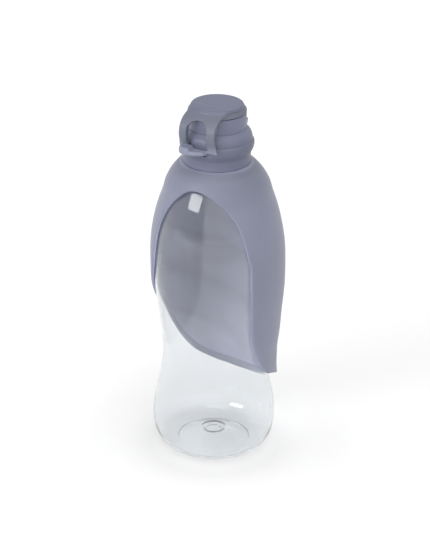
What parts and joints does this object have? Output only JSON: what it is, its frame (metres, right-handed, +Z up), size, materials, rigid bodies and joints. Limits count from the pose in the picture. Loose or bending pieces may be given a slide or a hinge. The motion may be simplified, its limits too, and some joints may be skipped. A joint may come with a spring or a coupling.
{
  "type": "dog travel water bottle",
  "caption": "Clear waisted squeeze bottle with a leaf-shaped silicone drinking bowl folded down round it and a screw cap with a hinged flip lid.",
  "frame": {"origin": "middle of the flat resting ring under the bottle, on the table", "axes": "+Z up along the bottle's axis, +Y towards the back of the leaf bowl, the lid's thumb tab near -Y"},
  "size_m": [0.0816, 0.0813, 0.2233],
  "materials": {
    "clear_plastic": "clear blown plastic, glossy, faint blue tint",
    "leaf_silicone": "grey-lavender silicone, satin",
    "cap_plastic": "grey-lavender moulded plastic, satin",
    "lid_plastic": "grey-lavender moulded plastic, satin",
    "seal_silicone": "milky translucent silicone",
    "black_rubber": "black rubber, matte",
    "white_plastic": "white moulded plastic",
    "pin_steel": "drawn steel pin"
  },
  "bodies": {
    "bottle": {"bottle": "clear_plastic", "leaf_hood": "leaf_silicone"},
    "leaf": {"leaf_wall": "leaf_silicone", "leaf_tip": "leaf_silicone"},
    "gasket": {"neck_gasket": "seal_silicone"},
    "cap": {"screw_cap": "cap_plastic", "spout_housing": "cap_plastic", "housing_oring": "black_rubber", "drip_valve": "seal_silicone", "valve_ring": "white_plastic"},
    "lid": {"flip_lid": "lid_plastic", "lid_seal": "seal_silicone", "hinge_pin": "pin_steel"}
  },
  "joints": [
    {"name": "leaf_flip", "type": "slide", "parent": "bottle", "child": "leaf", "axis": [0, 0, 1], "range_m": [0, 0.31], "deforming": ["leaf_wall"]},
    {"name": "cap_rise", "type": "slide", "parent": "bottle", "child": "gasket", "axis": [0, 0, 1], "range_m": [0, 0.0062]},
    {"name": "cap_turn", "type": "hinge", "parent": "gasket", "child": "cap", "pos_m": [0, 0, 0.2], "axis": [0, 0, 1], "range_deg": [0, 540]},
    {"name": "lid_open", "type": "hinge", "parent": "cap", "child": "lid", "pos_m": [0, 0.0234, 0.2055], "axis": [-1, 0, 0], "range_deg": [0, 100]}
  ],
  "couplings": [
    {"joint": "cap_rise", "follows": "cap_turn", "m_per_rad": 0.00063662}
  ]
}
